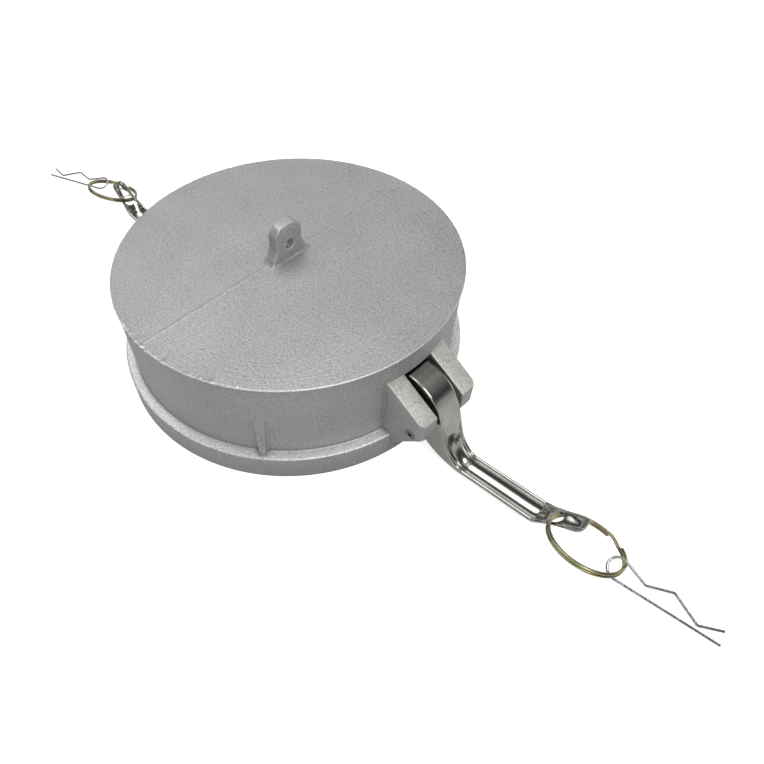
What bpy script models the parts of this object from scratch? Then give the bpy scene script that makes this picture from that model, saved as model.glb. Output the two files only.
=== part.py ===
"""Camlock dust cap for a six-inch coupler: a cast aluminium cap with a rubber gasket, two cam arms
on spring pins, and on each arm a split ring with a hairpin clip.

Metres, +Z up. The cap lies mouth down: the origin is on its axis, in the plane of its rim, and the
arms swing out along +X and -X. Run it with: blender --background --python part.py
"""

import math

import bmesh
import bpy
from mathutils import Matrix, Vector

# Cap: a turned cup with a flange at the mouth and a groove for the gasket at the closed end.
BORE_RADIUS = 0.0885
WALL = 0.0071
WALL_DRAFT = 0.0006
CAP_HEIGHT = 0.0669
TOP_THICKNESS = 0.0065
TOP_LIP = 0.0005
BORE_CHAMFER = 0.0017
FLANGE_REACH = 0.0059
FLANGE_HEIGHT = 0.0163
FLANGE_ROUND = 0.0012
FOOT_FILLET = 0.0022
GROOVE_DEPTH = 0.0015
GASKET_WIDTH = 0.0135
GASKET_THICKNESS = 0.0062
GASKET_ROUND = 0.0010
GASKET_PLAY = 0.0003

# Windows that the cam heads swing through, and the pair of ears beside each.
SLOT_PLAY = 0.00245
WINDOW_LEDGE = 0.0010
SILL_RISE = 0.0003
LIP_CLEARANCE = 0.0004
EAR_THICKNESS = 0.0109
EAR_REACH = 0.0229
EAR_SLOPE = math.radians(30.8)
EAR_NOSE = 0.0109
EAR_UNDERSIDE = math.radians(47)
EAR_CORNER = 0.0040
EAR_BEVEL = 0.0035
EAR_BEVEL_HALF_HEIGHT = 0.0020
EAR_HEEL_HEIGHT = 0.0110
EAR_FLANGE_OVERLAP = 0.0014
PIVOT_REACH = 0.0154
PIVOT_HEIGHT = 0.0285
SWING_RELIEF_RADIUS = 0.0172

# Gusset ribs on the wall, an opposite pair.
RIB_AZIMUTH = math.radians(-51)
RIB_WIDTH = 0.0066
RIB_TIP_WIDTH = 0.0022
RIB_TOP = 0.0488
RIB_REACH = 0.0041
RIB_TOP_LEDGE = 0.0003

# Lug on the closed end, a plate with a hole for a lanyard.
LUG_HEIGHT = 0.0211
LUG_WIDTH = 0.0180
LUG_THICKNESS = 0.0070
LUG_SHOULDER = 0.0060
LUG_FLARE = 0.0040
LUG_FILLET = 0.0022
LUG_EDGE = 0.0012
LUG_HOLE_RADIUS = 0.0032
LUG_HOLE_HEIGHT = 0.0090

# Cam arm, in its own side view: outward and up from the pivot.
ARM_WIDTH = 0.0148
SHANK_NARROWING = 0.0004
TROUGH_WALL = 0.0020
SHANK_LENGTH = 0.0387
SHANK_RISE = math.radians(6.1)
SHANK_DEPTH = 0.0063
TROUGH_DEPTH = 0.0043
TIP_SLOPE = math.radians(37)
TIP_WEB = 0.0012
RING_HOLE_RADIUS = 0.0048

# Coiled spring pin.
PIN_RADIUS = 0.0030
PIN_BORE_RADIUS = 0.0010
PIN_CHAMFER = 0.0004
PIN_FIT = 0.00015
ARM_FIT = 0.00025

# Split ring: two turns of flat wire, threaded through the hole in the arm's tip.
RING_RADIUS = 0.0175
RING_WIRE_WIDTH = 0.0016
RING_WIRE_THICKNESS = 0.0006
RING_TURN_GAP = 0.00022
RING_STEP_ANGLE = math.radians(24)
RING_STEP_AT = math.radians(72)
RING_RISE = math.radians(4.8)
RING_YAW = math.radians(-7.5)
RING_ROLL = math.radians(18.9)
RING_LIFT = 0.0010

# Hairpin clip: one straight leg, an eye round the ring and one wavy leg.
CLIP_WIRE_RADIUS = 0.00065
CLIP_EYE_RADIUS = 0.0050
CLIP_EYE_LEAVE = math.radians(62)
CLIP_SEAT = {"right": (0.0018, 0.0010), "left": (0.0018, 0.0022)}
CLIP_LENGTH = 0.0510
CLIP_BEND_RADIUS = 0.0016
CLIP_WAVE = ((0.0132, 0.0001), (0.0254, 0.0041), (0.0394, -0.0028), (0.0504, 0.0012))
CLIP_ON_RING = math.radians(12)
CLIP_YAW = {"right": math.radians(17.5), "left": math.radians(-18)}
CLIP_PITCH = {"right": math.radians(17.0), "left": math.radians(2)}
CLIP_ROLL = math.radians(20)

# How finely round shapes are divided.
CAP_STEPS = 120
GASKET_STEPS = 60
PIN_STEPS = 24
HOLE_STEPS = 28
CORNER_STEPS = 4
RING_STEPS_PER_TURN = 30
SECTIONS_PER_STATION = 2

# How far a cutter runs past what it cuts, and how deep a joined piece runs into the wall.
CUT_PAST = 0.0040
JOIN_DEPTH = 0.0010

# What follows from the sizes above.
WALL_RADIUS = BORE_RADIUS + WALL
FLANGE_RADIUS = WALL_RADIUS + FLANGE_REACH
GROOVE_RADIUS = BORE_RADIUS + GROOVE_DEPTH
CEILING = CAP_HEIGHT - TOP_THICKNESS
GROOVE_FLOOR = CEILING - GASKET_THICKNESS - 2 * GASKET_PLAY
WINDOW_TOP = GROOVE_FLOOR - WINDOW_LEDGE
WINDOW_SILL = FLANGE_HEIGHT + SILL_RISE
SLOT_HALF = ARM_WIDTH / 2 + SLOT_PLAY
EAR_OUTSIDE = SLOT_HALF + EAR_THICKNESS
EAR_END = WALL_RADIUS + EAR_REACH
PIVOT_X = WALL_RADIUS + PIVOT_REACH
SIDES = {"right": 1, "left": -1}

parts = None
cutters = None


def clear_scene():
    for old in list(bpy.data.objects):
        bpy.data.objects.remove(old, do_unlink=True)


def new_collection(name):
    collection = bpy.data.collections.new(name)
    bpy.context.scene.collection.children.link(collection)
    return collection


def material(name, colour, roughness, metallic):
    made = bpy.data.materials.new(name)
    made.use_nodes = True
    shader = made.node_tree.nodes["Principled BSDF"]
    shader.inputs["Base Color"].default_value = (*colour, 1)
    shader.inputs["Roughness"].default_value = roughness
    shader.inputs["Metallic"].default_value = metallic
    return made


def add_object(name, data, collection):
    made = bpy.data.objects.new(name, data)
    collection.objects.link(made)
    return made


def finish_part(obj, name, look):
    """Names a part, gives it its material and shades it smooth with sharp edges kept."""
    obj.name = name
    obj.data.name = name
    obj.data.materials.clear()
    obj.data.materials.append(look)
    obj.data.shade_smooth()
    obj.data.set_sharp_from_angle(angle=math.radians(32))
    return obj


def as_cutter(obj):
    for collection in list(obj.users_collection):
        collection.objects.unlink(obj)
    cutters.objects.link(obj)
    obj.hide_render = True
    obj.display_type = "WIRE"
    return obj


def combine(obj, tool, operation):
    """Adds a Boolean of obj with the tool, which becomes a hidden cutter."""
    as_cutter(tool)
    boolean = obj.modifiers.new(f"{operation} {tool.name}", "BOOLEAN")
    boolean.operation = operation
    boolean.solver = "EXACT"
    boolean.object = tool


def turned(name, profile, steps, collection):
    """A closed or axis-to-axis profile of (radius, height) points, spun about Z by a Screw."""
    mesh = bpy.data.meshes.new(name)
    points = [(radius, 0, height) for radius, height in profile]
    mesh.from_pydata(points, [(i, i + 1) for i in range(len(points) - 1)], [])
    obj = add_object(name, mesh, collection)
    screw = obj.modifiers.new("turn", "SCREW")
    screw.steps = steps
    screw.render_steps = steps
    screw.use_merge_vertices = True
    screw.merge_threshold = 0.00001
    return obj


def mesh_from_curve(curve_object):
    """Replaces a curve object by a mesh object in the same place, with its caps welded."""
    bpy.context.view_layer.update()
    graph = bpy.context.evaluated_depsgraph_get()
    mesh = bpy.data.meshes.new_from_object(curve_object.evaluated_get(graph))
    shape = bmesh.new()
    shape.from_mesh(mesh)
    bmesh.ops.remove_doubles(shape, verts=shape.verts, dist=0.000002)
    bmesh.ops.recalc_face_normals(shape, faces=shape.faces)
    shape.to_mesh(mesh)
    shape.free()
    made = add_object(curve_object.name, mesh, curve_object.users_collection[0])
    made.matrix_world = curve_object.matrix_world
    bpy.data.objects.remove(curve_object)
    return made


def plate(name, outline, half_thickness, placement):
    """A flat outline with thickness, laid in the plane that the placement gives."""
    curve = bpy.data.curves.new(name, "CURVE")
    curve.dimensions = "2D"
    curve.fill_mode = "BOTH"
    curve.extrude = half_thickness
    spline = curve.splines.new("POLY")
    spline.points.add(len(outline) - 1)
    for point, (x, y) in zip(spline.points, outline):
        point.co = (x, y, 0, 1)
    spline.use_cyclic_u = True
    obj = add_object(name, curve, cutters)
    obj.matrix_world = placement
    return mesh_from_curve(obj)


def cylinder(name, radius, length, centre, direction):
    bpy.ops.mesh.primitive_cylinder_add(vertices=HOLE_STEPS, radius=radius, depth=length)
    obj = bpy.context.object
    obj.name = name
    turn = Vector((0, 0, 1)).rotation_difference(Vector(direction).normalized())
    obj.matrix_world = Matrix.Translation(centre) @ turn.to_matrix().to_4x4()
    return obj


def corner(centre, radius, start, end, steps=CORNER_STEPS):
    """Points of an arc, with angles in degrees."""
    found = []
    for i in range(steps + 1):
        angle = math.radians(start + (end - start) * i / steps)
        found.append((centre[0] + radius * math.cos(angle), centre[1] + radius * math.sin(angle)))
    return found


def loft(name, sections, collection):
    """Joins rings of points, each with the same count, and closes both ends."""
    shape = bmesh.new()
    rings = [[shape.verts.new(point) for point in section] for section in sections]
    count = len(rings[0])
    for near, far in zip(rings, rings[1:]):
        for i in range(count):
            shape.faces.new((near[i], near[(i + 1) % count], far[(i + 1) % count], far[i]))
    shape.faces.new(reversed(rings[0]))
    shape.faces.new(rings[-1])
    bmesh.ops.recalc_face_normals(shape, faces=shape.faces)
    mesh = bpy.data.meshes.new(name)
    shape.to_mesh(mesh)
    shape.free()
    return add_object(name, mesh, collection)


def side_plane(azimuth=0):
    """The radial plane at an azimuth: local x runs outward, local y runs up."""
    return Matrix.Rotation(azimuth, 4, "Z") @ Matrix.Rotation(math.radians(90), 4, "X")


def cap_profile():
    """The cup's outline from the middle of the closed end, down the wall, and up the bore."""
    top_radius = WALL_RADIUS + WALL_DRAFT
    flange_foot = FLANGE_RADIUS - FLANGE_ROUND
    outside = [
        (0, CAP_HEIGHT),
        (top_radius + TOP_LIP - 0.6 * TOP_LIP, CAP_HEIGHT),
        (top_radius + TOP_LIP, CAP_HEIGHT - 0.8 * TOP_LIP),
        (top_radius, CAP_HEIGHT - 2.6 * TOP_LIP),
        (WALL_RADIUS, FLANGE_HEIGHT + 2 * FOOT_FILLET),
        (WALL_RADIUS + 0.2 * FOOT_FILLET, FLANGE_HEIGHT + 0.9 * FOOT_FILLET),
        (WALL_RADIUS + FOOT_FILLET, FLANGE_HEIGHT + 0.1 * FOOT_FILLET),
    ]
    outside += reversed(corner((flange_foot, FLANGE_HEIGHT - FLANGE_ROUND), FLANGE_ROUND, 0, 90))
    outside += reversed(corner((flange_foot, FLANGE_ROUND), FLANGE_ROUND, -90, 0))
    inside = [
        (BORE_RADIUS + BORE_CHAMFER, 0),
        (BORE_RADIUS, BORE_CHAMFER),
        (BORE_RADIUS, GROOVE_FLOOR),
        (GROOVE_RADIUS, GROOVE_FLOOR),
        (GROOVE_RADIUS, CEILING),
        (0, CEILING),
    ]
    return outside + inside


def ear_block(side):
    """One solid block for a pair of ears: its plan with round corners, cut to its side view."""
    inside = BORE_RADIUS + 0.35 * WALL
    plan = [(inside, -EAR_OUTSIDE)]
    plan += corner((EAR_END - EAR_CORNER, EAR_CORNER - EAR_OUTSIDE), EAR_CORNER, -90, 0)
    plan += corner((EAR_END - EAR_CORNER, EAR_OUTSIDE - EAR_CORNER), EAR_CORNER, 0, 90)
    plan += [(inside, EAR_OUTSIDE)]
    name = f"ears {side}"
    turn = Matrix.Rotation(0 if SIDES[side] > 0 else math.pi, 4, "Z")
    middle = CAP_HEIGHT / 2
    block = plate(name, plan, middle - JOIN_DEPTH, turn @ Matrix.Translation((0, 0, middle)))
    slope = math.tan(EAR_SLOPE)
    nose_top = WINDOW_TOP - EAR_REACH * slope
    nose_foot = nose_top - EAR_NOSE
    bevel_foot = nose_foot - EAR_BEVEL_HALF_HEIGHT
    heel = EAR_END - EAR_BEVEL - (bevel_foot - EAR_HEEL_HEIGHT) / math.tan(EAR_UNDERSIDE)
    outline = [
        (inside - CUT_PAST, WINDOW_TOP + (WALL_RADIUS - inside + CUT_PAST) * slope),
        (EAR_END + CUT_PAST, nose_top - CUT_PAST * slope),
        (EAR_END + CUT_PAST, nose_foot + EAR_BEVEL_HALF_HEIGHT),
        (EAR_END - EAR_BEVEL, bevel_foot),
        (heel, EAR_HEEL_HEIGHT),
        (WALL_RADIUS + EAR_FLANGE_OVERLAP, FLANGE_HEIGHT / 2),
        (inside - CUT_PAST, FLANGE_HEIGHT / 2),
    ]
    profile = plate(f"ear side view {side}", outline, EAR_OUTSIDE + CUT_PAST, turn @ side_plane())
    combine(block, profile, "INTERSECT")
    return block


def slot_cutter(side):
    """The window through the wall, open outward between the ears and down past the flange."""
    inside = BORE_RADIUS - 2 * CUT_PAST
    outside = EAR_END + 2 * CUT_PAST
    lip = FLANGE_RADIUS + LIP_CLEARANCE
    outline = [
        (inside, WINDOW_SILL),
        (lip, WINDOW_SILL),
        (lip, -CUT_PAST),
        (outside, -CUT_PAST),
        (outside, WINDOW_TOP),
        (inside, WINDOW_TOP),
    ]
    turn = Matrix.Rotation(0 if SIDES[side] > 0 else math.pi, 4, "Z")
    return plate(f"slot {side}", outline, SLOT_HALF, turn @ side_plane())


def rib(azimuth, name):
    """A triangular gusset between wall and flange, thinner at its tip."""
    root = WALL_RADIUS - JOIN_DEPTH
    tip = WALL_RADIUS + RIB_REACH
    foot = FLANGE_HEIGHT - JOIN_DEPTH
    outline = [(root, RIB_TOP), (WALL_RADIUS + RIB_TOP_LEDGE, RIB_TOP), (tip, foot), (root, foot)]
    gusset = plate(name, outline, RIB_WIDTH / 2, side_plane(azimuth))
    for vertex in gusset.data.vertices:
        outward = max(0, (vertex.co.x - WALL_RADIUS) / RIB_REACH)
        width = RIB_WIDTH + (RIB_TIP_WIDTH - RIB_WIDTH) * outward
        vertex.co.z *= width / RIB_WIDTH
    return gusset


def lug():
    """A flat plate lofted upward: a filleted foot, flared sides and a round-shouldered top."""
    half_width = LUG_WIDTH / 2
    half_thickness = LUG_THICKNESS / 2
    heights = [LUG_FILLET * share for share in (-0.45, 0.09, 0.27, 0.55, 1, 1.8, 2.7)]
    round_start = LUG_HEIGHT - LUG_SHOULDER
    rises = [math.sin(math.radians(angle)) for angle in (0, 20, 40, 58, 74, 84)]
    heights += [round_start + LUG_SHOULDER * rise for rise in rises]
    sections = []
    for height in heights:
        fillet = max(0, 1 - height / LUG_FILLET) if height > 0 else 1
        flare = LUG_FLARE * max(0, 1 - max(height, 0) / (0.45 * LUG_HEIGHT)) ** 1.6
        above = max(0, height - round_start)
        shoulder = LUG_SHOULDER - math.sqrt(max(0, LUG_SHOULDER**2 - above**2))
        width = half_width + flare + LUG_FILLET * 0.6 * fillet**2 - shoulder
        thickness = half_thickness + LUG_FILLET * 0.6 * fillet**2 - 0.16 * shoulder
        across, along = thickness - LUG_EDGE, width - LUG_EDGE
        outline = corner((across, along), LUG_EDGE, 0, 90)
        outline += corner((-across, along), LUG_EDGE, 90, 180)
        outline += corner((-across, -along), LUG_EDGE, 180, 270)
        outline += corner((across, -along), LUG_EDGE, 270, 360)
        sections.append([(x, y, CAP_HEIGHT + height) for x, y in outline])
    return loft("lug", sections, cutters)


def cap_body(look):
    body = turned("cap_body", cap_profile(), CAP_STEPS, parts)
    for side in SIDES:
        combine(body, ear_block(side), "UNION")
    combine(body, rib(RIB_AZIMUTH, "rib near"), "UNION")
    combine(body, rib(RIB_AZIMUTH + math.pi, "rib far"), "UNION")
    combine(body, lug(), "UNION")
    for side, sign in SIDES.items():
        combine(body, slot_cutter(side), "DIFFERENCE")
        pivot = (sign * PIVOT_X, 0, PIVOT_HEIGHT)
        relief = cylinder(f"swing relief {side}", SWING_RELIEF_RADIUS, 2 * SLOT_HALF, pivot, (0, 1, 0))
        combine(body, relief, "DIFFERENCE")
        length = 2 * (EAR_OUTSIDE + CUT_PAST)
        hole = cylinder(f"pin hole {side}", PIN_RADIUS + PIN_FIT, length, pivot, (0, 1, 0))
        combine(body, hole, "DIFFERENCE")
    lanyard = (0, 0, CAP_HEIGHT + LUG_HOLE_HEIGHT)
    hole = cylinder("lanyard hole", LUG_HOLE_RADIUS, 3 * LUG_THICKNESS, lanyard, (1, 0, 0))
    combine(body, hole, "DIFFERENCE")
    return finish_part(body, "cap_body", look)


def gasket(look):
    outer = GROOVE_RADIUS - GASKET_PLAY
    inner = outer - GASKET_WIDTH
    top = CEILING - GASKET_PLAY
    foot = top - GASKET_THICKNESS
    edge = GASKET_ROUND
    profile = []
    for radius, height, start in (
        (outer - edge, top - edge, 0),
        (outer - edge, foot + edge, -90),
        (inner + edge, foot + edge, 180),
        (inner + edge, top - edge, 90),
    ):
        profile += reversed(corner((radius, height), edge, start, start + 90, steps=2))
    profile += profile[:1]
    return finish_part(turned("gasket", profile, GASKET_STEPS, parts), "gasket", look)


def arm_stations():
    """The arm's design sections, as (front, back, half width, squareness, trough depth).

    Front and back are points of the side view. The head is a cam with a flat front, the neck
    curves round under the ear, the shank is a trough, and the tip is a dished tab.
    """
    full = ARM_WIDTH / 2
    shank = full - SHANK_NARROWING
    head = [
        ((-0.0170, 0.0217), (-0.0189, 0.0196), full - 0.0003, 8, 0),
        ((-0.0130, 0.0215), (-0.0192, 0.0167), full, 8, 0),
        ((-0.0050, 0.0197), (-0.0160, 0.0082), full, 8, 0),
        ((0.0025, 0.0149), (-0.0145, 0.0000), full, 8, 0),
        ((0.0082, 0.0060), (-0.0110, -0.0092), full, 8, 0),
        ((0.0119, -0.0050), (-0.0025, -0.0171), full, 7, 0),
        ((0.0153, -0.0142), (0.0080, -0.0240), full, 4.5, 0.35 * TROUGH_DEPTH),
        ((0.0206, -0.0205), (0.0190, -0.0278), shank, 2.8, 0.9 * TROUGH_DEPTH),
    ]
    heel = Vector((0.0245, -0.0219))
    along = Vector((math.cos(SHANK_RISE), math.sin(SHANK_RISE)))
    down = Vector((math.sin(SHANK_RISE), -math.cos(SHANK_RISE)))
    middle = heel + 0.5 * SHANK_LENGTH * along
    end = heel + SHANK_LENGTH * along
    trough = [
        (heel, heel + SHANK_DEPTH * Vector((0.03, -1)), shank, 2.2, TROUGH_DEPTH),
        (middle, middle + SHANK_DEPTH * down, shank, 2, TROUGH_DEPTH),
        (end, end + SHANK_DEPTH * down, shank, 2, TROUGH_DEPTH),
    ]
    tip = []
    tip_plan = [
        (0.0034, 0.0009, 0.45, 0.0032, 0.0001),
        (0.0064, 0.0025, 0.75, 0.0016, 0.0006),
        (0.0094, 0.0046, 0.97, 0.0006, 0.0011),
        (0.0130, 0.0072, 1.00, 0.0006, 0.0015),
        (0.0170, 0.0103, 1.00, 0.0014, 0.0017),
        (0.0200, 0.0126, 1.00, 0.0020, 0.0020),
        (0.0218, 0.0140, 1.00, 0.0014, 0.0027),
        (0.0228, 0.0148, 1.00, 0.0005, 0.0038),
    ]
    for out, up, lean, dish, narrowing in tip_plan:
        front = end + Vector((out, up))
        angle = SHANK_RISE + lean * (TIP_SLOPE - SHANK_RISE)
        web = TIP_WEB + (1 - lean) * (SHANK_DEPTH - TROUGH_DEPTH - TIP_WEB)
        back = front + (dish + web) * Vector((math.sin(angle), -math.cos(angle)))
        tip.append((front, back, shank - narrowing, 2.2, dish))
    stations = head + trough + tip
    return [(Vector(front), Vector(back), *rest) for front, back, *rest in stations]


def between(values, place):
    """Catmull-Rom interpolation of a list of numbers or vectors."""
    last = len(values) - 1
    i = min(int(place), last - 1)
    t = place - i
    before, near, far, after = (values[min(max(i + k, 0), last)] for k in (-1, 0, 1, 2))
    linear = (far - before) * (0.5 * t)
    square = (before - near * 2.5 + far * 2 - after * 0.5) * t**2
    cube = ((near - far) * 1.5 + (after - before) * 0.5) * t**3
    return near + linear + square + cube


def arm_section(station_lists, place):
    """One closed ring of points: a rounded outside and, from rim to rim, the trough."""
    front, back, half, squareness, dish = (between(values, place) for values in station_lists)
    depth = (back - front).length
    down = (back - front) / depth
    inner = half - TROUGH_WALL * min(1, half / (ARM_WIDTH / 2))
    outside = [0, 20, 38, 52, 66, 78, 90, 102, 114, 128, 142, 160, 180]
    points = []
    for degrees in outside:
        angle = math.radians(degrees)
        cosine = math.cos(angle)
        across = math.copysign(abs(cosine) ** (2 / squareness), cosine) if degrees != 90 else 0
        points.append((half * across, depth * math.sin(angle) ** (2 / squareness)))
    for degrees in (180, 154, 128, 105, 75, 52, 26, 0):
        angle = math.radians(degrees)
        points.append((inner * math.cos(angle), max(dish, 0) * math.sin(angle)))
    return [(*(front + down * deep).to_tuple(), across) for across, deep in points]


def arm_tip_hole():
    """The middle and the direction of the ring's hole, in the arm's side view."""
    stations = arm_stations()
    lists = list(zip(*stations))
    front, back, _, _, dish = (between(values, len(stations) - 5.75) for values in lists)
    down = (back - front).normalized()
    depth = (back - front).length
    return front + down * (dish + depth) / 2, down


def cam_arm(side, look):
    stations = arm_stations()
    lists = list(zip(*stations))
    count = (len(stations) - 1) * SECTIONS_PER_STATION
    sections = []
    for i in range(count + 1):
        flat = arm_section(lists, i / SECTIONS_PER_STATION)
        sections.append([(out, across, up) for out, up, across in flat])
    arm = loft(f"cam_arm_{side}", sections, parts)
    turn = Matrix.Rotation(0 if SIDES[side] > 0 else math.pi, 4, "Z")
    place = Matrix.Translation((SIDES[side] * PIVOT_X, 0, PIVOT_HEIGHT)) @ turn
    arm.matrix_world = place
    pivot = cylinder(f"arm bore {side}", PIN_RADIUS + ARM_FIT, 2 * ARM_WIDTH, place.translation, (0, 1, 0))
    combine(arm, pivot, "DIFFERENCE")
    middle, down = arm_tip_hole()
    centre = place @ Vector((middle.x, 0, middle.y))
    direction = place.to_3x3() @ Vector((down.x, 0, down.y))
    hole = cylinder(f"ring hole {side}", RING_HOLE_RADIUS, 8 * TIP_WEB, centre, direction)
    combine(arm, hole, "DIFFERENCE")
    return finish_part(arm, f"cam_arm_{side}", look)


def pivot_pin(side, look):
    half = EAR_OUTSIDE
    profile = [
        (PIN_BORE_RADIUS, half),
        (PIN_RADIUS - PIN_CHAMFER, half),
        (PIN_RADIUS, half - PIN_CHAMFER),
        (PIN_RADIUS, PIN_CHAMFER - half),
        (PIN_RADIUS - PIN_CHAMFER, -half),
        (PIN_BORE_RADIUS, -half),
        (PIN_BORE_RADIUS, half),
    ]
    pin = turned(f"pivot_pin_{side}", profile, PIN_STEPS, parts)
    pin.location = (SIDES[side] * PIVOT_X, 0, PIVOT_HEIGHT)
    pin.rotation_euler = (math.radians(90), 0, 0)
    return finish_part(pin, f"pivot_pin_{side}", look)


def ring_frame(side):
    """The ring's placement: its origin in the arm's hole, x to the ring's centre, z its normal."""
    sign = SIDES[side]
    middle, down = arm_tip_hole()
    seat = middle - RING_LIFT * down
    hole = Vector((sign * (PIVOT_X + seat.x), 0, PIVOT_HEIGHT + seat.y))
    flat = math.cos(RING_RISE)
    inward = Vector((sign * flat * math.cos(RING_YAW), flat * math.sin(RING_YAW), math.sin(RING_RISE)))
    level = Vector((0, 0, 1)).cross(inward).normalized() * sign
    upright = inward.cross(level) * sign
    normal = upright * math.cos(RING_ROLL) + level * math.sin(RING_ROLL)
    return frame_matrix(hole, inward, normal)


def frame_matrix(origin, x_axis, z_axis):
    """A right-handed placement from an origin, an x axis and a z axis."""
    y_axis = z_axis.cross(x_axis)
    rotation = Matrix((x_axis, y_axis, z_axis)).transposed().to_4x4()
    return Matrix.Translation(origin) @ rotation


def split_ring(side, look):
    """Two turns that lie on each other, with one step from the lower turn to the upper."""
    rise = RING_WIRE_THICKNESS + RING_TURN_GAP
    end_gap = math.radians(3)
    start = RING_STEP_ANGLE + end_gap
    offset = SIDES[side] * RING_STEP_AT - RING_STEP_ANGLE / 2
    stop = 4 * math.pi - end_gap
    steps = 2 * RING_STEPS_PER_TURN
    half_width = RING_WIRE_WIDTH / 2
    half_thickness = RING_WIRE_THICKNESS / 2
    chamfer = 0.3 * RING_WIRE_THICKNESS
    wire = [
        (half_width, half_thickness - chamfer),
        (half_width - chamfer, half_thickness),
        (chamfer - half_width, half_thickness),
        (-half_width, half_thickness - chamfer),
        (-half_width, chamfer - half_thickness),
        (chamfer - half_width, -half_thickness),
        (half_width - chamfer, -half_thickness),
        (half_width, chamfer - half_thickness),
    ]
    sections = []
    for i in range(steps + 1):
        angle = start + (stop - start) * i / steps
        climb = min(max((angle - 2 * math.pi) / RING_STEP_ANGLE, 0), 1)
        height = (climb * climb * (3 - 2 * climb) - 0.5) * rise
        around = angle + offset
        cosine, sine = math.cos(around), math.sin(around)
        section = []
        for out, up in wire:
            reach = RING_RADIUS + out
            section.append((RING_RADIUS + reach * cosine, reach * sine, height + up))
        sections.append(section)
    ring = loft(f"split_ring_{side}", sections, parts)
    ring.matrix_world = ring_frame(side)
    return finish_part(ring, f"split_ring_{side}", look)


def rounded_path(points, radius):
    """Replaces each inner corner of a flat path by a short arc."""
    path = [Vector(points[0])]
    for before, here, after in zip(points, points[1:], points[2:]):
        here = Vector(here)
        back = (Vector(before) - here).normalized()
        on = (Vector(after) - here).normalized()
        half = back.angle(on) / 2
        reach = radius / math.tan(half)
        centre = here + (back + on).normalized() * radius / math.sin(half)
        first, last = here + back * reach, here + on * reach
        for i in range(4):
            step = (first.lerp(last, i / 3) - centre).normalized()
            path.append(centre + step * radius)
    path.append(Vector(points[-1]))
    return path


def clip_path(side):
    """The clip's centre line in its own plane: x along the straight leg, the ring at the origin."""
    eye = CLIP_EYE_RADIUS
    points = [Vector((CLIP_LENGTH, -eye)), Vector((0.5 * CLIP_LENGTH, -eye))]
    turns = 14
    for i in range(turns + 1):
        angle = -math.pi / 2 - (1.5 * math.pi - CLIP_EYE_LEAVE) * i / turns
        points.append(Vector((eye * math.cos(angle), eye * math.sin(angle))))
    wave = rounded_path([points[-1].to_tuple(), *CLIP_WAVE], CLIP_BEND_RADIUS)
    return [point - Vector(CLIP_SEAT[side]) for point in points + wave[1:]]


def clip_frame(side):
    """The clip's placement: its origin on the ring's wire, x along the legs, y to the wavy leg."""
    sign = SIDES[side]
    around = sign * CLIP_ON_RING
    on_wire = Vector((RING_RADIUS + RING_RADIUS * math.cos(around), RING_RADIUS * math.sin(around), 0))
    yaw = CLIP_YAW[side]
    pitch = CLIP_PITCH[side]
    flat = math.cos(pitch)
    along = Vector((sign * flat * math.cos(yaw), flat * math.sin(yaw), -math.sin(pitch)))
    level = Vector((0, 0, 1)).cross(along).normalized() * sign
    upright = along.cross(level) * sign
    across = level * math.cos(CLIP_ROLL) + upright * math.sin(CLIP_ROLL)
    return frame_matrix(ring_frame(side) @ on_wire, along, along.cross(across))


def hairpin_clip(side, look):
    curve = bpy.data.curves.new(f"hairpin_clip_{side}", "CURVE")
    curve.dimensions = "3D"
    curve.bevel_depth = CLIP_WIRE_RADIUS
    curve.bevel_resolution = 2
    curve.use_fill_caps = True
    path = clip_path(side)
    spline = curve.splines.new("POLY")
    spline.points.add(len(path) - 1)
    for point, place in zip(spline.points, path):
        point.co = (place.x, place.y, 0, 1)
    clip = add_object(f"hairpin_clip_{side}", curve, parts)
    clip.matrix_world = clip_frame(side)
    return finish_part(mesh_from_curve(clip), f"hairpin_clip_{side}", look)


def main():
    global parts, cutters
    clear_scene()
    parts = new_collection("camlock_dust_cap")
    cutters = new_collection("cutters")
    cutters.hide_render = True
    aluminium = material("cast aluminium", (0.42, 0.41, 0.40), 0.55, 0.75)
    rubber = material("nitrile rubber", (0.02, 0.02, 0.02), 0.75, 0.0)
    stainless = material("cast stainless steel", (0.48, 0.47, 0.45), 0.28, 1.0)
    spring_steel = material("spring steel", (0.30, 0.29, 0.28), 0.35, 1.0)
    zinc = material("yellow zinc plate", (0.52, 0.48, 0.30), 0.30, 1.0)
    plain_steel = material("plain steel wire", (0.33, 0.33, 0.33), 0.35, 1.0)
    cap_body(aluminium)
    gasket(rubber)
    for side in SIDES:
        cam_arm(side, stainless)
        pivot_pin(side, spring_steel)
        split_ring(side, zinc)
        hairpin_clip(side, plain_steel)


main()
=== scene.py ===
"""Looks for a camlock dust cap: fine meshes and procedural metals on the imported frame."""

import math

import bmesh
import bpy
from mathutils import Matrix, Vector, noise


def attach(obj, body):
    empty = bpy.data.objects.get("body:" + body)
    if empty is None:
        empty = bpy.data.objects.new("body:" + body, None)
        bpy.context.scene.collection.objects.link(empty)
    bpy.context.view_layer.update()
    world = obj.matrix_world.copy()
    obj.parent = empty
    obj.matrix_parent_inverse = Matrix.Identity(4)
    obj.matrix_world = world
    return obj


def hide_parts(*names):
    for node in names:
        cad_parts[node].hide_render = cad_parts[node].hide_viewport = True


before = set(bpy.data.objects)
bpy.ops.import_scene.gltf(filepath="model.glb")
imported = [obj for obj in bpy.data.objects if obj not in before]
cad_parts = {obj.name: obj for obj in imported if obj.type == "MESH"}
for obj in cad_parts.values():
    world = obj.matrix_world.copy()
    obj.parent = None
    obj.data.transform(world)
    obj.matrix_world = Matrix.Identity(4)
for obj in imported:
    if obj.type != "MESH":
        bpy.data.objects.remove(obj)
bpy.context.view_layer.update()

# Cap sizes, in metres, as in the solids but for a smaller fillet at the wall's foot.
BORE_RADIUS = 0.0885
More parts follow.
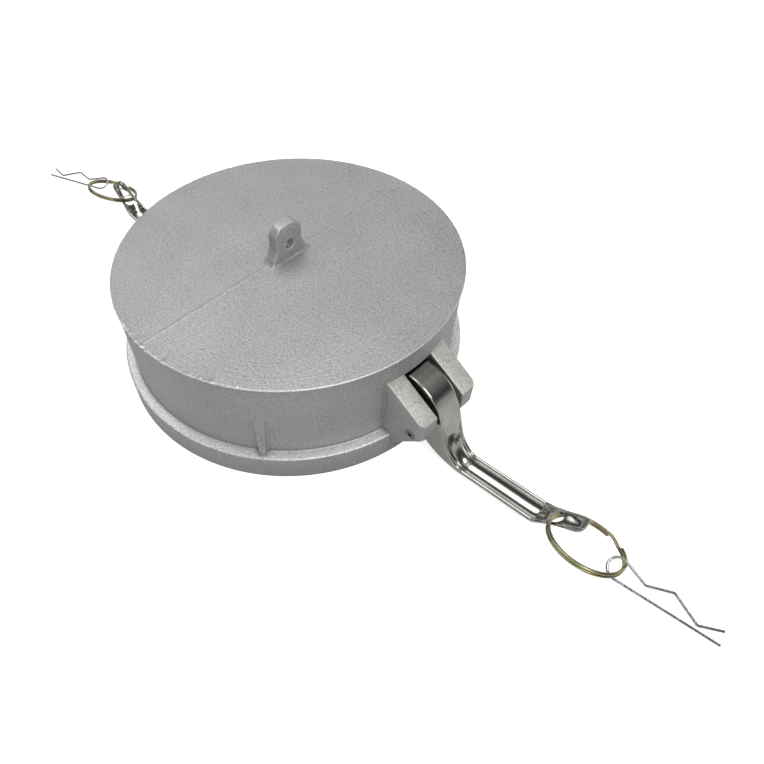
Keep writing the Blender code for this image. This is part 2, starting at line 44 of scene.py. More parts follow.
WALL = 0.0071
WALL_DRAFT = 0.0006
CAP_HEIGHT = 0.0669
TOP_THICKNESS = 0.0065
TOP_LIP = 0.0005
BORE_CHAMFER = 0.0017
FLANGE_REACH = 0.0059
FLANGE_HEIGHT = 0.0163
FLANGE_ROUND = 0.0012
FOOT_FILLET = 0.0009
GROOVE_DEPTH = 0.0015
GASKET_WIDTH = 0.0135
GASKET_THICKNESS = 0.0062
GASKET_ROUND = 0.0010
GASKET_PLAY = 0.0003
SLOT_PLAY = 0.00245
SLOT_TRIM = 0.0001
WINDOW_LEDGE = 0.0010
SILL_RISE = 0.0003
LIP_CLEARANCE = 0.0004
EAR_THICKNESS = 0.0109
EAR_PAST_PIVOT = 0.0075
EAR_BELOW_PIVOT = 0.000451
EAR_NOSE = 0.0109
EAR_UNDERSIDE = math.radians(47)
EAR_CORNER = 0.0040
EAR_BEVEL = 0.0035
EAR_BEVEL_HALF_HEIGHT = 0.0020
EAR_HEEL_DROP = 0.0175
EAR_FLANGE_OVERLAP = 0.0014
EAR_EDGE = 0.0007
PIVOT_REACH = 0.0154
PIVOT_DROP = 0.0241
RELIEF_PLAY = 0.0027
CAM_PLAY = 0.0024
CAM_BACK = 0.6682
RIB_AZIMUTH = math.radians(-51)
RIB_WIDTH = 0.0066
RIB_TIP_WIDTH = 0.0022
RIB_TOP = 0.0488
RIB_REACH = 0.0041
RIB_TOP_LEDGE = 0.0003
RIB_EDGE = 0.0005
LUG_HEIGHT = 0.0211
LUG_WIDTH = 0.0180
LUG_THICKNESS = 0.0070
LUG_SHOULDER = 0.0060
LUG_TOP_THINNING = 0.16
LUG_FLARE = 0.0040
LUG_FLARE_SHARE = 0.45
LUG_FILLET = 0.0022
LUG_FILLET_REACH = 0.6
LUG_EDGE = 0.0012
LUG_HOLE_RADIUS = 0.0032
LUG_HOLE_HEIGHT = 0.0090

# Arm, pin, ring and clip sizes. Beside the solids, the ring's wire is thicker, its hole in the
# arm is smaller, and the rings and clips lie a little nearer to how the photograph shows them.
ARM_WIDTH = 0.0148
HEAD_DRAWN_HEIGHT = 21.7
TIP_DRAWN_LENGTH = 22.8
HEAD_NARROWING = 0.0003
SHANK_NARROWING = 0.0004
TROUGH_WALL = 0.0020
RAIL_ROUND = 0.0008
SHANK_LENGTH = 0.0387
SHANK_RISE = math.radians(6.1)
SHANK_DEPTH = 0.0063
HEEL_LIFT = 0.0003
BEND_SHARE = 0.11
TROUGH_DEPTH = 0.0043
TIP_LENGTH = 0.0228
TIP_SLOPE = math.radians(37)
TIP_WEB = 0.0012
HOLE_STATION_FROM_END = 5.75
RING_HOLE_RADIUS = 0.0038
PIN_RADIUS = 0.0030
PIN_FIT = 0.00015
ARM_FIT = 0.00025
PIN_STRIP = 0.00052
PIN_STRIP_GAP = 0.00012
PIN_TURNS = 2.4
PIN_SEAM_AT = 0.6
PIN_EDGE = 0.0001
RING_RADIUS = 0.0175
RING_WIRE_WIDTH = 0.0016
RING_WIRE_THICKNESS = 0.0013
RING_TURN_GAP = 0.00015
RING_STEP_ANGLE = math.radians(24)
RING_STEP_AT = math.radians(72)
RING_END_GAP = math.radians(3)
RING_RISE = math.radians(6.1)
RING_YAW = math.radians(-10.7)
RING_ROLL = math.radians(22.9)
RING_LIFT = 0.00085
CLIP_WIRE_RADIUS = 0.00065
CLIP_EYE_RADIUS = 0.0050
CLIP_EYE_LEAVE = math.radians(62)
CLIP_SEAT = {"right": (0.0018, 0.0006), "left": (0.0018, 0.0013)}
CLIP_LENGTH = 0.0510
CLIP_BEND_RADIUS = 0.0016
CLIP_WAVE = ((0.0132, 0.0001), (0.0254, 0.0041), (0.0394, -0.0028), (0.0504, 0.0012))
CLIP_ON_RING = math.radians(12)
CLIP_YAW = {"right": math.radians(17.5), "left": math.radians(-18)}
CLIP_PITCH = {"right": math.radians(17.0), "left": math.radians(2)}
CLIP_ROLL = math.radians(20)

# Casting flaws: the seam across the closed end and the burr along part of its edge.
SEAM_HALF_WIDTH = 0.0014
SEAM_HEIGHT = 0.00034
SEAM_DRIFT = 0.00015
SEAM_SUNK = 0.0001
BURR_FROM = math.radians(-112)
BURR_TO = math.radians(-50)
BURR_OUT = 0.0014
BURR_UP = 0.0011
BURR_BAND = 0.0016
BURR_EASE = math.radians(12)
BURR_LEAST = 0.12
BURR_LUMPS_PER_RADIAN = (42, 95)
BURR_FINE_SHARE = 0.9

# How finely round shapes are divided.
CAP_STEPS = 640
GASKET_STEPS = 200
HOLE_STEPS = 64
CORNER_STEPS = 8
SEAM_STEPS = 260
PIN_STEPS = 96
RING_STEPS_PER_TURN = 110
CLIP_EYE_STEPS = 48
SECTIONS_PER_STATION = 8
CUT_PAST = 0.0040
JOIN_DEPTH = 0.0010

# What follows from the sizes above.
WALL_RADIUS = BORE_RADIUS + WALL
FLANGE_RADIUS = WALL_RADIUS + FLANGE_REACH
GROOVE_RADIUS = BORE_RADIUS + GROOVE_DEPTH
CEILING = CAP_HEIGHT - TOP_THICKNESS
GROOVE_FLOOR = CEILING - GASKET_THICKNESS - 2 * GASKET_PLAY
WINDOW_TOP = GROOVE_FLOOR - WINDOW_LEDGE
WINDOW_SILL = FLANGE_HEIGHT + SILL_RISE
SLOT_HALF = ARM_WIDTH / 2 + SLOT_PLAY
EAR_OUTSIDE = SLOT_HALF + EAR_THICKNESS
PIVOT_X = WALL_RADIUS + PIVOT_REACH
PIVOT_HEIGHT = WINDOW_TOP - PIVOT_DROP
EAR_END = PIVOT_X + EAR_PAST_PIVOT
CAM_RISE = PIVOT_DROP - CAM_PLAY
SWING_RELIEF_RADIUS = CAM_BACK * CAM_RISE + RELIEF_PLAY
SIDES = {"right": 1, "left": -1}

# The cap's lit and shaded copies of one cast look, in the order of its material slots: painted shade on
# the wall, painted light on the flange top and the ear tops, and a painted highlight on the lip.
WALL_SHADED_SLOT, END_SLOT, FLANGE_LIT_SLOT, EAR_LIT_SLOT, LIP_HIGHLIGHT_SLOT, LUG_SLOT = range(6)
LIP_HIGHLIGHT_INWARD = 0.0003
FLANGE_LIT_ABOVE = 0.001

# Camera, fitted to the photograph.
CAMERA_PLACE = Vector((0.208968, -0.169375, 0.281147))
CAMERA_RIGHT = Vector((0.67766, 0.73388, -0.04691))
CAMERA_UP = Vector((-0.55533, 0.55251, 0.62156))
CAMERA_FOCAL_PIXELS = 610.0
CAMERA_CENTRE_PIXEL = (299.77, 393.18)
PICTURE_PIXELS = 764
SENSOR_MM = 36.0
CAMERA_NEAREST = 0.01

# Studio: brightness by a direction's Z, by its X, and by its nearness to the overhead softbox.
ROOM_BANDS = (
    (0.0, 1.0),
    (0.14, 0.95),
    (0.26, 0.30),
    (0.40, 0.07),
    (0.74, 0.09),
    (0.86, 0.30),
    (1.0, 0.45),
)
SIDE_BANDS = ((0.00, 0.38), (0.22, 0.80), (0.45, 1.0), (0.70, 0.25))
SOFTBOX_DIRECTION = (-0.40, 0.10, 0.911)
SOFTBOX_BANDS = ((0.885, 0.0), (0.95, 1.0))
SOFTBOX_STRENGTH = 1.2
WORLD_STRENGTH = 2.2
FLOOR_TONE = 0.64
FLOOR_LIFT = 0.85
FLOOR_GLOSSY_LIFT = 0.05
KEY_PLACE = (1.25, -0.25, 1.85)
KEY_SIDE = 0.9
KEY_WATTS = 18
KEY_TARGET = (0, 0, 0.03)


def add_object(name, data):
    obj = bpy.data.objects.new(name, data)
    bpy.context.scene.collection.objects.link(obj)
    return obj


def discard(obj):
    bpy.data.objects.remove(obj, do_unlink=True)


def bake_modifiers(obj):
    """Turns an object with modifiers, or a curve, into a plain mesh in world space."""
    bpy.context.view_layer.update()
    graph = bpy.context.evaluated_depsgraph_get()
    mesh = bpy.data.meshes.new_from_object(obj.evaluated_get(graph))
    mesh.transform(obj.matrix_world)
    name = obj.name
    discard(obj)
    made = add_object(name, mesh)
    made.name = name
    return made


def weld(obj, distance=0.000002):
    shape = bmesh.new()
    shape.from_mesh(obj.data)
    bmesh.ops.remove_doubles(shape, verts=shape.verts, dist=distance)
    bmesh.ops.recalc_face_normals(shape, faces=shape.faces)
    shape.to_mesh(obj.data)
    shape.free()
    return obj


def combine(obj, tools, operation):
    """The object joined with, cut to or cut by each tool, as one plain mesh."""
    for tool in tools:
        boolean = obj.modifiers.new(tool.name, "BOOLEAN")
        boolean.operation = operation
        boolean.solver = "EXACT"
        boolean.object = tool
    made = bake_modifiers(obj)
    for tool in tools:
        discard(tool)
    return made


def bevelled(obj, width, segments=3, angle=math.radians(28)):
    bevel = obj.modifiers.new("edges", "BEVEL")
    bevel.width = width
    bevel.segments = segments
    bevel.limit_method = "ANGLE"
    bevel.angle_limit = angle
    bevel.use_clamp_overlap = True
    return bake_modifiers(obj)


def smooth(obj, angle=math.radians(32)):
    obj.data.shade_smooth()
    obj.data.set_sharp_from_angle(angle=angle)
    return obj


def turned(name, profile, steps):
    """A profile of (radius, height) points, spun about Z."""
    mesh = bpy.data.meshes.new(name)
    points = [(radius, 0, height) for radius, height in profile]
    mesh.from_pydata(points, [(i, i + 1) for i in range(len(points) - 1)], [])
    obj = add_object(name, mesh)
    screw = obj.modifiers.new("turn", "SCREW")
    screw.steps = steps
    screw.render_steps = steps
    screw.use_merge_vertices = True
    screw.merge_threshold = 0.00001
    return bake_modifiers(obj)


def plate(name, outline, half_thickness, placement):
    """A flat outline with thickness, laid in the plane that the placement gives."""
    curve = bpy.data.curves.new(name, "CURVE")
    curve.dimensions = "2D"
    curve.fill_mode = "BOTH"
    curve.extrude = half_thickness
    spline = curve.splines.new("POLY")
    spline.points.add(len(outline) - 1)
    for point, (x, y) in zip(spline.points, outline):
        point.co = (x, y, 0, 1)
    spline.use_cyclic_u = True
    obj = add_object(name, curve)
    obj.matrix_world = placement
    return weld(bake_modifiers(obj))


def cylinder(name, radius, length, centre, direction):
    bpy.ops.mesh.primitive_cylinder_add(vertices=HOLE_STEPS, radius=radius, depth=length)
    obj = bpy.context.object
    obj.name = name
    turn = Vector((0, 0, 1)).rotation_difference(Vector(direction).normalized())
    obj.matrix_world = Matrix.Translation(centre) @ turn.to_matrix().to_4x4()
    return obj


def corner(centre, radius, start, end, steps=CORNER_STEPS):
    """Points of an arc, with angles in degrees."""
    found = []
    for i in range(steps + 1):
        angle = math.radians(start + (end - start) * i / steps)
        found.append((centre[0] + radius * math.cos(angle), centre[1] + radius * math.sin(angle)))
    return found


def loft(name, sections):
    """Joins rings of points, each with the same count, and closes both ends."""
    shape = bmesh.new()
    rings = [[shape.verts.new(point) for point in section] for section in sections]
    count = len(rings[0])
    for near, far in zip(rings, rings[1:]):
        for i in range(count):
            shape.faces.new((near[i], near[(i + 1) % count], far[(i + 1) % count], far[i]))
    shape.faces.new(reversed(rings[0]))
    shape.faces.new(rings[-1])
    bmesh.ops.recalc_face_normals(shape, faces=shape.faces)
    mesh = bpy.data.meshes.new(name)
    shape.to_mesh(mesh)
    shape.free()
    return add_object(name, mesh)


def half_turn(side):
    return Matrix.Rotation(0 if SIDES[side] > 0 else math.pi, 4, "Z")


def side_plane(azimuth=0):
    """The radial plane at an azimuth: local x runs outward, local y runs up."""
    return Matrix.Rotation(azimuth, 4, "Z") @ Matrix.Rotation(math.radians(90), 4, "X")


def cap_profile():
    """The cup's outline from the middle of the closed end, down the wall, and up the bore."""
    top_radius = WALL_RADIUS + WALL_DRAFT
    flange_foot = FLANGE_RADIUS - FLANGE_ROUND
    outside = [(0, CAP_HEIGHT)]
    outside += [(top_radius * share, CAP_HEIGHT) for share in (0.25, 0.5, 0.75, 0.9, 0.97, 0.99)]
    lip_centre = (top_radius + 0.2 * TOP_LIP, CAP_HEIGHT - 0.8 * TOP_LIP)
    outside += reversed(corner(lip_centre, 0.8 * TOP_LIP, -50, 90, steps=5))
    outside.append((top_radius, CAP_HEIGHT - 3.2 * TOP_LIP))
    rise = CAP_HEIGHT - FLANGE_HEIGHT
    for share in (0.8, 0.5, 0.25):
        outside.append((WALL_RADIUS + WALL_DRAFT * share, FLANGE_HEIGHT + rise * share))
    fillet_centre = (WALL_RADIUS + FOOT_FILLET, FLANGE_HEIGHT + FOOT_FILLET)
    outside += corner(fillet_centre, FOOT_FILLET, 180, 270, steps=6)
    for height, start in ((FLANGE_HEIGHT - FLANGE_ROUND, 0), (FLANGE_ROUND, -90)):
        outside += reversed(corner((flange_foot, height), FLANGE_ROUND, start, start + 90, steps=5))
    inside = [
        (BORE_RADIUS + BORE_CHAMFER, 0),
        (BORE_RADIUS, BORE_CHAMFER),
        (BORE_RADIUS, GROOVE_FLOOR),
        (GROOVE_RADIUS, GROOVE_FLOOR),
        (GROOVE_RADIUS, CEILING),
        (0, CEILING),
    ]
    return outside + inside


def slot_cutter(side, half_width):
    """The window through the wall, open outward between the ears and down past the flange."""
    inside = BORE_RADIUS - 2 * CUT_PAST
    outside = EAR_END + 2 * CUT_PAST
    lip = FLANGE_RADIUS + LIP_CLEARANCE
    outline = [
        (inside, WINDOW_SILL),
        (lip, WINDOW_SILL),
        (lip, -CUT_PAST),
        (outside, -CUT_PAST),
        (outside, WINDOW_TOP),
        (inside, WINDOW_TOP),
    ]
    return plate(f"slot_{side}", outline, half_width, half_turn(side) @ side_plane())


def relief_cutter(side):
    pivot = (SIDES[side] * PIVOT_X, 0, PIVOT_HEIGHT)
    return cylinder(f"relief_{side}", SWING_RELIEF_RADIUS, 2 * SLOT_HALF, pivot, (0, 1, 0))


def ear_pair(side):
    """Both ears of one window with rounded edges, reaching into the wall."""
    inside = BORE_RADIUS + 0.35 * WALL
    plan = [(inside, -EAR_OUTSIDE)]
    plan += corner((EAR_END - EAR_CORNER, EAR_CORNER - EAR_OUTSIDE), EAR_CORNER, -90, 0)
    plan += corner((EAR_END - EAR_CORNER, EAR_OUTSIDE - EAR_CORNER), EAR_CORNER, 0, 90)
    plan += [(inside, EAR_OUTSIDE)]
    turn = half_turn(side)
    middle = CAP_HEIGHT / 2
    block = plate(f"ears_{side}", plan, middle - JOIN_DEPTH, turn @ Matrix.Translation((0, 0, middle)))
    nose_foot = PIVOT_HEIGHT - EAR_BELOW_PIVOT
    nose_top = nose_foot + EAR_NOSE
    slope = (WINDOW_TOP - nose_top) / (EAR_END - WALL_RADIUS)
    bevel_foot = nose_foot - EAR_BEVEL_HALF_HEIGHT
    heel_height = PIVOT_HEIGHT - EAR_HEEL_DROP
    heel = EAR_END - EAR_BEVEL - (bevel_foot - heel_height) / math.tan(EAR_UNDERSIDE)
    outline = [
        (inside - CUT_PAST, WINDOW_TOP + (WALL_RADIUS - inside + CUT_PAST) * slope),
        (EAR_END + CUT_PAST, nose_top - CUT_PAST * slope),
        (EAR_END + CUT_PAST, nose_foot + EAR_BEVEL_HALF_HEIGHT),
        (EAR_END - EAR_BEVEL, bevel_foot),
        (heel, heel_height),
        (WALL_RADIUS + EAR_FLANGE_OVERLAP, FLANGE_HEIGHT / 2),
        (inside - CUT_PAST, FLANGE_HEIGHT / 2),
    ]
    profile = plate(f"ear_view_{side}", outline, EAR_OUTSIDE + CUT_PAST, turn @ side_plane())
    block = combine(block, [profile], "INTERSECT")
    block = combine(block, [slot_cutter(side, SLOT_HALF)], "DIFFERENCE")
    return bevelled(weld(block), EAR_EDGE)


def rib(azimuth, name):
    """A triangular gusset between wall and flange, thinner at its tip."""
    root = WALL_RADIUS - JOIN_DEPTH
    tip = WALL_RADIUS + RIB_REACH
    foot = FLANGE_HEIGHT - JOIN_DEPTH
    outline = [(root, RIB_TOP), (WALL_RADIUS + RIB_TOP_LEDGE, RIB_TOP), (tip, foot), (root, foot)]
    gusset = plate(name, outline, RIB_WIDTH / 2, Matrix.Identity(4))
    for vertex in gusset.data.vertices:
        outward = max(0, (vertex.co.x - WALL_RADIUS) / RIB_REACH)
        vertex.co.z *= (RIB_WIDTH + (RIB_TIP_WIDTH - RIB_WIDTH) * outward) / RIB_WIDTH
    gusset.data.transform(side_plane(azimuth))
    return bevelled(gusset, RIB_EDGE)


def lug():
    """A flat plate lofted upward: a filleted foot, flared sides and a round-shouldered top."""
    half_width = LUG_WIDTH / 2
    half_thickness = LUG_THICKNESS / 2
    low = (-0.45, 0.05, 0.12, 0.2, 0.3, 0.42, 0.55, 0.75, 1, 1.4, 1.8, 2.2, 2.7, 3.4, 4.2, 5.2, 6.2)
    heights = [LUG_FILLET * share for share in low]
    round_start = LUG_HEIGHT - LUG_SHOULDER
    turns = (0, 8, 16, 24, 32, 40, 48, 56, 64, 72, 78, 83, 87)
    heights += [round_start + LUG_SHOULDER * math.sin(math.radians(angle)) for angle in turns]
    sections = []
    for height in heights:
        fillet = max(0, 1 - height / LUG_FILLET) if height > 0 else 1
        flare = LUG_FLARE * max(0, 1 - max(height, 0) / (LUG_FLARE_SHARE * LUG_HEIGHT)) ** 1.6
        above = max(0, height - round_start)
        shoulder = LUG_SHOULDER - math.sqrt(max(0, LUG_SHOULDER**2 - above**2))
        spread = LUG_FILLET * LUG_FILLET_REACH * fillet**2
        width = half_width + flare + spread - shoulder
        thickness = half_thickness + spread - LUG_TOP_THINNING * shoulder
        across, along = thickness - LUG_EDGE, width - LUG_EDGE
        outline = corner((across, along), LUG_EDGE, 0, 90)
        outline += corner((-across, along), LUG_EDGE, 90, 180)
        outline += corner((-across, -along), LUG_EDGE, 180, 270)
        outline += corner((across, -along), LUG_EDGE, 270, 360)
        sections.append([(x, y, CAP_HEIGHT + height) for x, y in outline])
    return loft("lug", sections)


def roughen_edge(obj):
    """Pushes the closed end's edge out and up in small lumps: an untrimmed burr along one part."""
    edge = WALL_RADIUS + WALL_DRAFT
    broad, fine = BURR_LUMPS_PER_RADIAN
    for vertex in obj.data.vertices:
        place = vertex.co
        reach = math.hypot(place.x, place.y)
        near = 1 - (abs(reach - edge) + abs(place.z - CAP_HEIGHT)) / BURR_BAND
        if near <= 0 or place.z > CAP_HEIGHT + TOP_LIP:
            continue
        angle = math.atan2(place.y, place.x)
        inside = min(angle - BURR_FROM, BURR_TO - angle) / BURR_EASE
        amount = near * min(1, max(BURR_LEAST, inside))
        lump = noise.noise(Vector((angle * broad, 3.1, 0)))
        lump += BURR_FINE_SHARE * noise.noise(Vector((angle * fine, 7.7, 0)))
        outward = Vector((place.x, place.y, 0)) / reach
        vertex.co += outward * (BURR_OUT * amount * lump)
        vertex.co.z += BURR_UP * amount * max(0, lump + 0.25)


def slots_by_place(obj):
    """Gives each face a lit or shaded copy of the cast look by its place and slope: faces turned up take
    painted light, and the lip takes a painted highlight. What's left keeps the wall's painted shade.
    """
    lip_reach = WALL_RADIUS + WALL_DRAFT - LIP_HIGHLIGHT_INWARD
    flange_reach = WALL_RADIUS + 0.4 * FOOT_FILLET
    for face in obj.data.polygons:
        height = face.center.z
        reach = math.hypot(face.center.x, face.center.y)
        upward = face.normal.z
        if reach > lip_reach and height > CAP_HEIGHT - 3 * TOP_LIP and upward > -0.2:
            face.material_index = LIP_HIGHLIGHT_SLOT
        elif height > CAP_HEIGHT + LUG_FILLET:
            face.material_index = LUG_SLOT
        elif height > CAP_HEIGHT - TOP_LIP:
            face.material_index = END_SLOT
        elif reach > flange_reach and upward > 0.5 and height < FLANGE_HEIGHT + FLANGE_LIT_ABOVE:
            face.material_index = FLANGE_LIT_SLOT
        elif reach > WALL_RADIUS and upward > 0.5:
            face.material_index = EAR_LIT_SLOT


def cap(looks):
    body = turned("cap_casting", cap_profile(), CAP_STEPS)
    roughen_edge(body)
    windows = [slot_cutter(side, SLOT_HALF + SLOT_TRIM) for side in SIDES]
    body = combine(body, windows + [relief_cutter(side) for side in SIDES], "DIFFERENCE")
    ears = []
    for side in SIDES:
        ears.append(combine(ear_pair(side), [relief_cutter(side)], "DIFFERENCE"))
    ribs = [rib(RIB_AZIMUTH, "rib_near"), rib(RIB_AZIMUTH + math.pi, "rib_far")]
    body = combine(body, ears + ribs + [lug()], "UNION")
    holes = []
    for side, sign in SIDES.items():
        pivot = (sign * PIVOT_X, 0, PIVOT_HEIGHT)
        length = 2 * (EAR_OUTSIDE + CUT_PAST)
        holes.append(cylinder(f"pin_hole_{side}", PIN_RADIUS + PIN_FIT, length, pivot, (0, 1, 0)))
    lanyard = (0, 0, CAP_HEIGHT + LUG_HOLE_HEIGHT)
    holes.append(cylinder("lanyard_hole", LUG_HOLE_RADIUS, 3 * LUG_THICKNESS, lanyard, (1, 0, 0)))
    body = combine(body, holes, "DIFFERENCE")
    body.data.materials.clear()
    for look in looks:
        body.data.materials.append(look)
    slots_by_place(body)
    return smooth(body)


def seam(look):
    """The low seam that the mould's joint leaves across the closed end."""
    reach = WALL_RADIUS - 0.001
    sections = []
    for i in range(SEAM_STEPS + 1):
        y = -reach + 2 * reach * i / SEAM_STEPS
        wobble = noise.noise(Vector((y * 400, 1.3, 0)))
        width = SEAM_HALF_WIDTH * (1 + 0.35 * wobble)
        height = SEAM_HEIGHT * (0.75 + 0.6 * noise.noise(Vector((y * 900, 5.2, 0))))
        drift = SEAM_DRIFT * noise.noise(Vector((y * 120, 9.4, 0)))
        foot = CAP_HEIGHT - SEAM_SUNK
        section = [(drift - width, y, foot), (drift + width, y, foot)]
        for share in (0.7, 0.25, -0.25, -0.7):
            lift = height * (1 - share * share)
            section.append((drift + share * width, y, CAP_HEIGHT + lift))
        sections.append(section)
    piece = loft("casting_seam", sections)
    piece.data.materials.append(look)
    return smooth(piece, math.radians(60))


def gasket(look):
    outer = GROOVE_RADIUS - GASKET_PLAY
    inner = outer - GASKET_WIDTH
    top = CEILING - GASKET_PLAY
    foot = top - GASKET_THICKNESS
    edge = GASKET_ROUND
    profile = []
    for radius, height, start in (
        (outer - edge, top - edge, 0),
        (outer - edge, foot + edge, -90),
        (inner + edge, foot + edge, 180),
        (inner + edge, top - edge, 90),
    ):
        profile += reversed(corner((radius, height), edge, start, start + 90, steps=5))
    profile += profile[:1]
    piece = turned("gasket_ring", profile, GASKET_STEPS)
    piece.data.materials.append(look)
    return smooth(piece)


def arm_stations():
    """The arm's design sections, as (front, back, half width, squareness, trough depth).

    Front and back are points of the side view. The head and the tip are given as in their
    drawings, and scaled to size here.
    """
    full = ARM_WIDTH / 2
    shank = full - SHANK_NARROWING
    scale = CAM_RISE / HEAD_DRAWN_HEIGHT
    head_plan = [
        ((-17.0, 21.7), (-18.9, 19.6), full - HEAD_NARROWING, 8, 0),
        ((-13.0, 21.5), (-19.2, 16.7), full, 8, 0),
        ((-5.0, 19.7), (-16.0, 8.2), full, 8, 0),
        ((2.5, 14.9), (-14.5, 0.0), full, 8, 0),
        ((8.2, 6.0), (-11.0, -9.2), full, 8, 0),
        ((11.9, -5.0), (-2.5, -17.1), full, 7, 0.1 * TROUGH_DEPTH),
        ((15.3, -14.2), (8.0, -24.0), full, 4.5, 0.75 * TROUGH_DEPTH),
        ((20.9, -20.0), (19.0, -27.8), shank, 2.8, TROUGH_DEPTH),
    ]
    head = [(scale * Vector(front), scale * Vector(back), *rest) for front, back, *rest in head_plan]
    heel = scale * Vector((24.5, -21.9))
    along = Vector((math.cos(SHANK_RISE), math.sin(SHANK_RISE)))
    down = Vector((math.sin(SHANK_RISE), -math.cos(SHANK_RISE)))
    bend = heel + BEND_SHARE * SHANK_LENGTH * along
    middle = heel + 0.5 * SHANK_LENGTH * along
    end = heel + SHANK_LENGTH * along
    trough = [
        (heel + Vector((0, HEEL_LIFT)), heel + SHANK_DEPTH * Vector((0.03, -1)), shank, 2.2, TROUGH_DEPTH),
        (bend, bend + SHANK_DEPTH * down, shank, 2, TROUGH_DEPTH),
        (middle, middle + SHANK_DEPTH * down, shank, 2, TROUGH_DEPTH),
        (end, end + SHANK_DEPTH * down, shank, 2, TROUGH_DEPTH),
    ]
    tip = []
    scale = TIP_LENGTH / TIP_DRAWN_LENGTH
    tip_plan = [
        (3.4, 0.9, 0.45, 3.2, 0.1),
        (6.4, 2.5, 0.75, 1.6, 0.6),
        (9.4, 4.6, 0.97, 0.6, 1.1),
        (13.0, 7.2, 1.00, 0.6, 1.5),
        (17.0, 10.3, 1.00, 2.2, 1.7),
        (20.0, 12.6, 1.00, 2.8, 2.0),
        (21.8, 14.0, 1.00, 1.9, 2.7),
        (22.8, 14.8, 1.00, 0.4, 3.8),
    ]
    for out, up, lean, dish, narrowing in tip_plan:
        front = end + scale * Vector((out, up))
        angle = SHANK_RISE + lean * (TIP_SLOPE - SHANK_RISE)
        web = TIP_WEB + (1 - lean) * (SHANK_DEPTH - TROUGH_DEPTH - TIP_WEB)
        back = front + (scale * dish + web) * Vector((math.sin(angle), -math.cos(angle)))
        tip.append((front, back, shank - scale * narrowing, 2.2, scale * dish))
    return head + trough + tip


def between(values, place):
    """Catmull-Rom interpolation of a list of numbers or vectors."""
    last = len(values) - 1
    i = min(int(place), last - 1)
    t = place - i
    before, near, far, after = (values[min(max(i + k, 0), last)] for k in (-1, 0, 1, 2))
    linear = (far - before) * (0.5 * t)
    square = (before - near * 2.5 + far * 2 - after * 0.5) * t**2
    cube = ((near - far) * 1.5 + (after - before) * 0.5) * t**3
    return near + linear + square + cube


def arm_section(station_lists, place):
    """One closed ring of points: a rounded outside, two rounded rails and the trough between."""
    front, back, half, squareness, dish = (between(values, place) for values in station_lists)
    depth = (back - front).length
    down = (back - front) / depth
    inner = half - TROUGH_WALL * min(1, half / (ARM_WIDTH / 2))
    dish = max(dish, 0)
    outer_round = min(RAIL_ROUND, 0.3 * depth)
    inner_round = min(outer_round, 0.8 * dish)
    rail = (half + inner) / 2
    rail_half = (half - inner) / 2
    points = []
    for i in range(33):
        degrees = 180 * i / 32
        cosine = math.cos(math.radians(degrees))
        sine = math.sin(math.radians(degrees))
        across = math.copysign(abs(cosine) ** (2 / squareness), cosine)
        if abs(cosine) < 1e-9:
            across = 0
        points.append((half * across, max(depth * max(sine, 0) ** (2 / squareness), outer_round)))
    crown = (0.97, 0.88, 0.7, 0.45, 0.15, -0.15, -0.45, -0.7, -0.88, -0.97)
    for share in crown:
        fall = 1 - math.sqrt(1 - share * share)
        points.append((-rail - rail_half * share, fall * (outer_round if share > 0 else inner_round)))
    for i in range(21):
        angle = math.radians(180 - 9 * i)
        across = inner * math.cos(angle)
        points.append((across, max(dish * math.sin(angle), inner_round)))
    for share in reversed(crown):
        fall = 1 - math.sqrt(1 - share * share)
        points.append((rail + rail_half * share, fall * (outer_round if share > 0 else inner_round)))
    return [(*(front + down * deep).to_tuple(), across) for across, deep in points]


def arm_tip_hole():
    """The middle and the direction of the ring's hole, in the arm's side view."""
    stations = arm_stations()
    lists = list(zip(*stations))
    front, back, _, _, dish = (between(values, len(stations) - HOLE_STATION_FROM_END) for values in lists)
    down = (back - front).normalized()
    depth = (back - front).length
    return front + down * (dish + depth) / 2, down


def cam_arm(side, look):
    stations = arm_stations()
    lists = list(zip(*stations))
    count = (len(stations) - 1) * SECTIONS_PER_STATION
    sections = []
    for i in range(count + 1):
        flat = arm_section(lists, i / SECTIONS_PER_STATION)
        sections.append([(out, across, up) for out, up, across in flat])
    arm = loft(f"arm_{side}_polished", sections)
    place = Matrix.Translation((SIDES[side] * PIVOT_X, 0, PIVOT_HEIGHT)) @ half_turn(side)
    arm.matrix_world = place
    bore = PIN_RADIUS + ARM_FIT
    pivot = cylinder(f"arm_bore_{side}", bore, 2 * ARM_WIDTH, place.translation, (0, 1, 0))
    middle, down = arm_tip_hole()
    centre = place @ Vector((middle.x, 0, middle.y))
    direction = place.to_3x3() @ Vector((down.x, 0, down.y))
    hole = cylinder(f"ring_hole_{side}", RING_HOLE_RADIUS, 8 * TIP_WEB, centre, direction)
    arm = combine(arm, [pivot, hole], "DIFFERENCE")
    arm.data.materials.clear()
    arm.data.materials.append(look)
    return smooth(arm, math.radians(38))


def coiled_pin(side, look):
    """A strip rolled up on itself, with a small bevel at both ends."""
    pitch = PIN_STRIP + PIN_STRIP_GAP
    outer = []
    inner = []
    for i in range(PIN_STEPS + 1):
        turn = PIN_TURNS * i / PIN_STEPS
        angle = 2 * math.pi * turn + PIN_SEAM_AT
        radius = PIN_RADIUS - (PIN_TURNS - turn) * pitch
        outer.append((radius * math.cos(angle), radius * math.sin(angle)))
        inner.append(((radius - PIN_STRIP) * math.cos(angle), (radius - PIN_STRIP) * math.sin(angle)))
    placement = Matrix.Translation((SIDES[side] * PIVOT_X, 0, PIVOT_HEIGHT)) @ side_plane()
    pin = plate(f"pin_{side}_coiled", outer + inner[::-1], EAR_OUTSIDE, placement)
    pin = bevelled(pin, PIN_EDGE, segments=1, angle=math.radians(60))
    pin.data.materials.append(look)
    return smooth(pin)


def frame_matrix(origin, x_axis, z_axis):
    """A right-handed placement from an origin, an x axis and a z axis."""
    y_axis = z_axis.cross(x_axis)
    rotation = Matrix((x_axis, y_axis, z_axis)).transposed().to_4x4()
    return Matrix.Translation(origin) @ rotation


